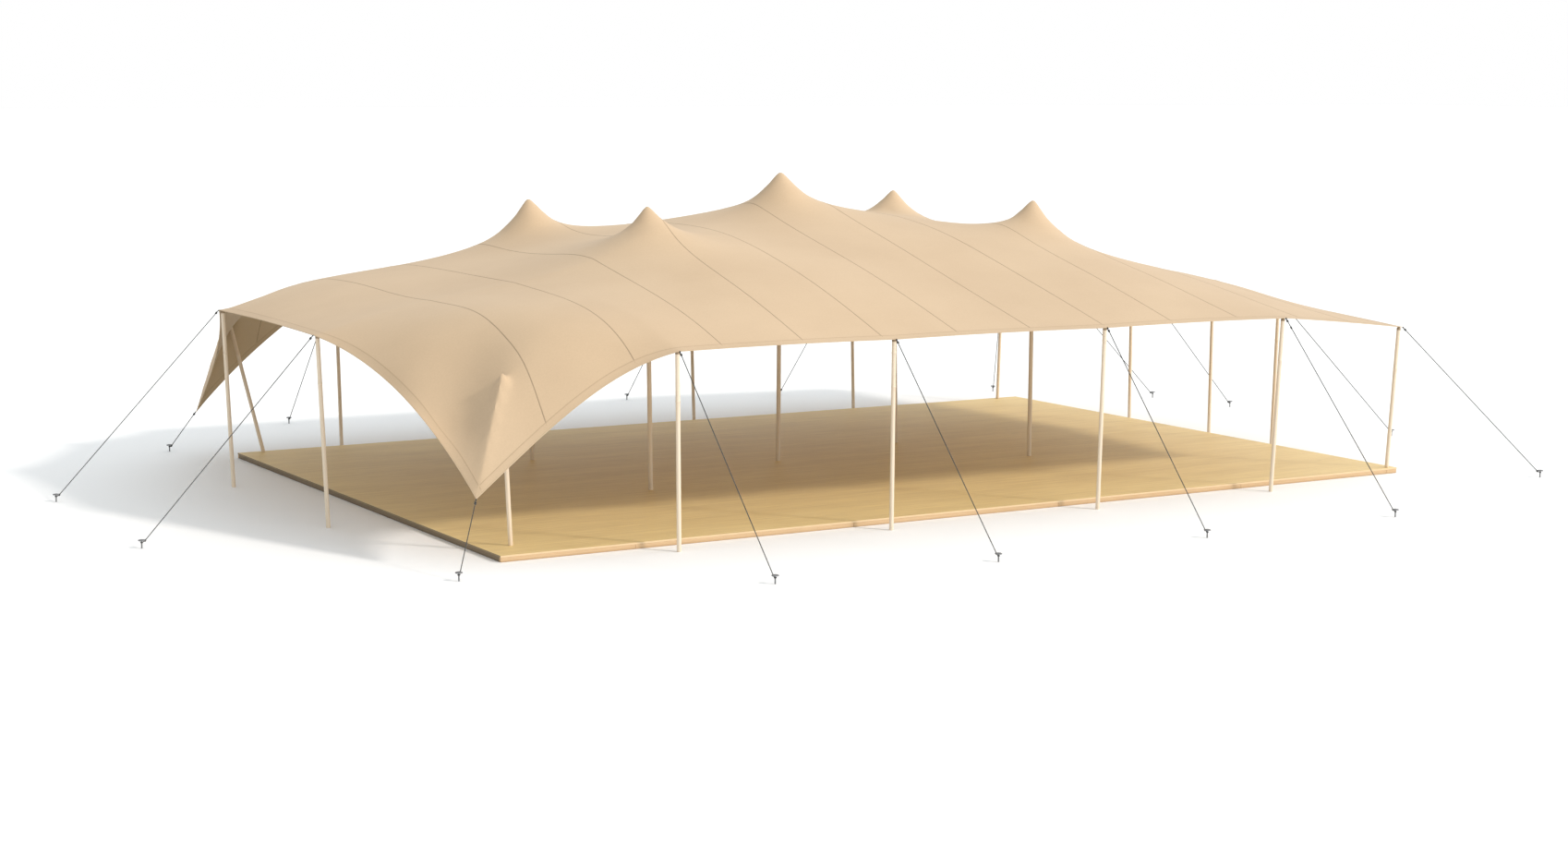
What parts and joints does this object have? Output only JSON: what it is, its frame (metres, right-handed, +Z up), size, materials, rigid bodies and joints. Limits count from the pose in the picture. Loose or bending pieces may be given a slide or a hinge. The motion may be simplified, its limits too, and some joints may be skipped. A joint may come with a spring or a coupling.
{
  "type": "stretch tent",
  "caption": "Open-sided stretch tent over a low plywood platform, with a tan fabric canopy raised by inner and edge poles and held out by guy ropes and stakes.",
  "frame": {"origin": "ground level under the middle of the platform", "axes": "+X along the long front towards the right end, +Y from the open front to the back, +Z up"},
  "size_m": [21.614, 16.664, 4.56],
  "materials": {
    "fabric": "matte stretch weave",
    "pole_wood": "planed pale wood, clear coat",
    "plywood": "satin plywood",
    "deck_timber": "planed timber edge",
    "rope": "grey braided rope on a grey steel stake"
  },
  "bodies": {
    "root": {"canopy": "fabric", "deck_floor": "plywood", "deck_frame": "deck_timber", "pole_front_1": "pole_wood", "pole_front_2": "pole_wood", "pole_front_3": "pole_wood", "pole_front_4": "pole_wood", "pole_front_left": "pole_wood", "pole_front_right": "pole_wood", "pole_back_right": "pole_wood", "pole_back_left": "pole_wood", "pole_back_1": "pole_wood", "pole_back_2": "pole_wood", "pole_back_3": "pole_wood", "pole_back_4": "pole_wood", "pole_left_1": "pole_wood", "pole_left_2": "pole_wood", "pole_right_1": "pole_wood", "pole_right_2": "pole_wood", "pole_right_3": "pole_wood", "pole_inner_1": "pole_wood", "pole_inner_2": "pole_wood", "pole_inner_3": "pole_wood", "pole_inner_4": "pole_wood", "pole_inner_5": "pole_wood", "guy_front_left": "rope", "guy_front_1": "rope", "guy_front_2": "rope", "guy_front_3": "rope", "guy_front_4": "rope", "guy_front_right": "rope", "guy_right_1": "rope", "guy_right_3": "rope", "guy_right_4": "rope", "guy_back_right": "rope", "guy_back_1": "rope", "guy_back_2": "rope", "guy_back_3": "rope", "guy_back_4": "rope", "guy_back_left": "rope", "guy_left_1": "rope", "guy_left_2": "rope"}
  },
  "joints": []
}
